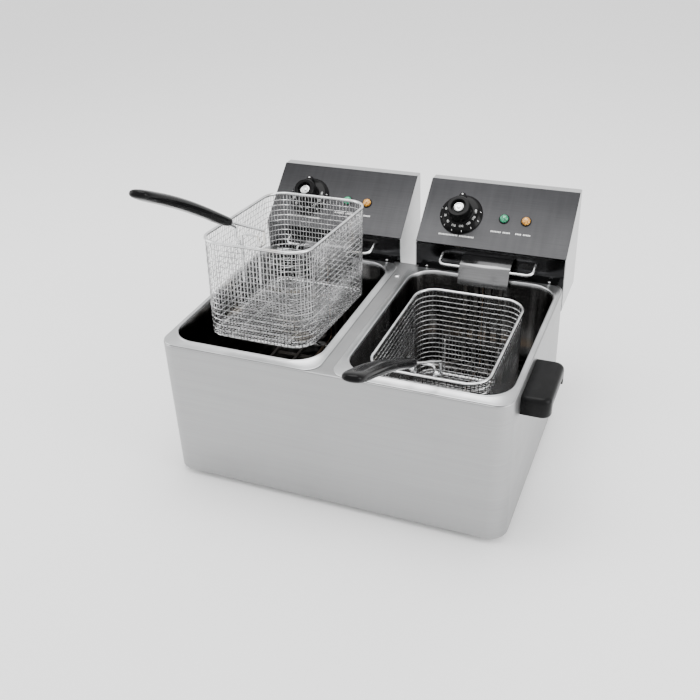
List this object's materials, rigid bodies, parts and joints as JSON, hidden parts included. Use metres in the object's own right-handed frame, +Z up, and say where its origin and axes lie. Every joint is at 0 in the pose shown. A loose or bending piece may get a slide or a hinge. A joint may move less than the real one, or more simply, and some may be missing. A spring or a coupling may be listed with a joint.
{
  "type": "deep fryer",
  "caption": "Counter-top electric deep fryer: steel casing, twin lift-out oil tanks with lift-off control heads, wire baskets with folding handles, one hung and one lowered.",
  "frame": {"origin": "on the counter, under the middle of the whole fryer, its side handle, grips and cord glands included", "axes": "+X to the right of someone facing the controls, +Y from the front to the back, +Z up"},
  "size_m": [0.592, 0.727, 0.5655],
  "materials": {
    "casing_steel": "brushed stainless sheet with rolled edges",
    "plain_steel": "plain stainless sheet",
    "tank_steel": "deep-drawn stainless, mirror dark inside",
    "head_steel": "brushed stainless sheet, light",
    "panel_steel": "dark brushed control plate",
    "dark_steel": "dark polished sheet",
    "guard_steel": "folded stainless plate",
    "element_steel": "heat-browned tube",
    "bright_wire": "bright nickel-plated wire",
    "woven_wire": "fine woven wire cloth",
    "bright_steel": "bright screw heads and pins",
    "knob_chrome": "chromed knob centre",
    "black_rubber": "soft black feet",
    "black_plastic": "satin black heatproof plastic",
    "gloss_black": "glossy black phenolic",
    "red_plastic": "red reset button",
    "green_lens": "faceted green lens",
    "amber_lens": "faceted amber lens",
    "cream_ceramic": "unglazed heatproof blocks",
    "copper": "copper bulb and capillary"
  },
  "bodies": {
    "casing": {"outer_casing": "casing_steel", "base_plate": "plain_steel", "rubber_feet": "black_rubber", "foot_screws": "bright_steel", "side_handle": "black_plastic", "handle_strap": "plain_steel", "handle_screws": "bright_steel", "locating_pins": "bright_steel", "bridge_screw": "bright_steel"},
    "tank_left": {"oil_tank_left": "tank_steel"},
    "head_left": {"head_casing_left": "head_steel", "rear_cover_left": "plain_steel", "cover_screws_left": "bright_steel", "control_panel_left": "panel_steel", "splash_wall_left": "dark_steel", "heating_element_left": "element_steel", "element_guard_left": "guard_steel", "basket_hanger_left": "bright_wire", "thermostat_left": "cream_ceramic", "thermostat_bulb_left": "copper", "limit_thermostat_left": "cream_ceramic", "terminal_block_left": "cream_ceramic", "lamp_sockets_left": "black_plastic", "green_lens_left": "green_lens", "amber_lens_left": "amber_lens", "cord_gland_left": "black_plastic"},
    "dial_left": {"dial_knob_left": "gloss_black", "knob_insert_left": "knob_chrome", "knob_spindle_left": "plain_steel"},
    "reset_left": {"reset_button_left": "red_plastic"},
    "basket_left": {"basket_frame_left": "bright_wire", "basket_mesh_left": "woven_wire"},
    "handle_left": {"handle_wire_left": "bright_wire", "handle_grip_left": "gloss_black"},
    "tank_right": {"oil_tank_right": "tank_steel"},
    "head_right": {"head_casing_right": "head_steel", "rear_cover_right": "plain_steel", "cover_screws_right": "bright_steel", "control_panel_right": "panel_steel", "splash_wall_right": "dark_steel", "heating_element_right": "element_steel", "element_guard_right": "guard_steel", "basket_hanger_right": "bright_wire", "thermostat_right": "cream_ceramic", "thermostat_bulb_right": "copper", "limit_thermostat_right": "cream_ceramic", "terminal_block_right": "cream_ceramic", "lamp_sockets_right": "black_plastic", "green_lens_right": "green_lens", "amber_lens_right": "amber_lens", "cord_gland_right": "black_plastic"},
    "dial_right": {"dial_knob_right": "gloss_black", "knob_insert_right": "knob_chrome", "knob_spindle_right": "plain_steel"},
    "reset_right": {"reset_button_right": "red_plastic"},
    "basket_right": {"basket_frame_right": "bright_wire", "basket_mesh_right": "woven_wire"},
    "handle_right": {"handle_wire_right": "bright_wire", "handle_grip_right": "gloss_black"}
  },
  "joints": [
    {"name": "tank_lift_left", "type": "slide", "parent": "casing", "child": "tank_left", "axis": [0, 0, 1], "range_m": [0, 0.25]},
    {"name": "head_lift_left", "type": "slide", "parent": "tank_left", "child": "head_left", "axis": [0, 0, 1], "range_m": [0, 0.22]},
    {"name": "basket_lift_left", "type": "slide", "parent": "head_left", "child": "basket_left", "axis": [0, 0, 1], "range_m": [0, 0.18]},
    {"name": "handle_fold_left", "type": "hinge", "parent": "basket_left", "child": "handle_left", "pos_m": [-0.165, -0.06042, 0.39233], "axis": [-1, 0, 0], "range_deg": [0, 130]},
    {"name": "dial_turn_left", "type": "hinge", "parent": "head_left", "child": "dial_left", "pos_m": [-0.2255, 0.27968, 0.326], "axis": [0, 0.6441, -0.7649], "range_deg": [0, 300]},
    {"name": "reset_press_left", "type": "slide", "parent": "head_left", "child": "reset_left", "axis": [0, -1, 0], "range_m": [0, 0.003], "stiffness_N_per_m": 400, "springref_m": -0.002},
    {"name": "tank_lift_right", "type": "slide", "parent": "casing", "child": "tank_right", "axis": [0, 0, 1], "range_m": [0, 0.25]},
    {"name": "head_lift_right", "type": "slide", "parent": "tank_right", "child": "head_right", "axis": [0, 0, 1], "range_m": [0, 0.22]},
    {"name": "basket_lift_right", "type": "slide", "parent": "head_right", "child": "basket_right", "axis": [0, 0, 1], "range_m": [0, 0.18]},
    {"name": "handle_fold_right", "type": "hinge", "parent": "basket_right", "child": "handle_right", "pos_m": [0.119, -0.10435, 0.25155], "axis": [-1, 0, 0], "range_deg": [0, 130]},
    {"name": "dial_turn_right", "type": "hinge", "parent": "head_right", "child": "dial_right", "pos_m": [0.0605, 0.27968, 0.326], "axis": [0, 0.6441, -0.7649], "range_deg": [0, 300]},
    {"name": "reset_press_right", "type": "slide", "parent": "head_right", "child": "reset_right", "axis": [0, -1, 0], "range_m": [0, 0.003], "stiffness_N_per_m": 400, "springref_m": -0.002}
  ]
}
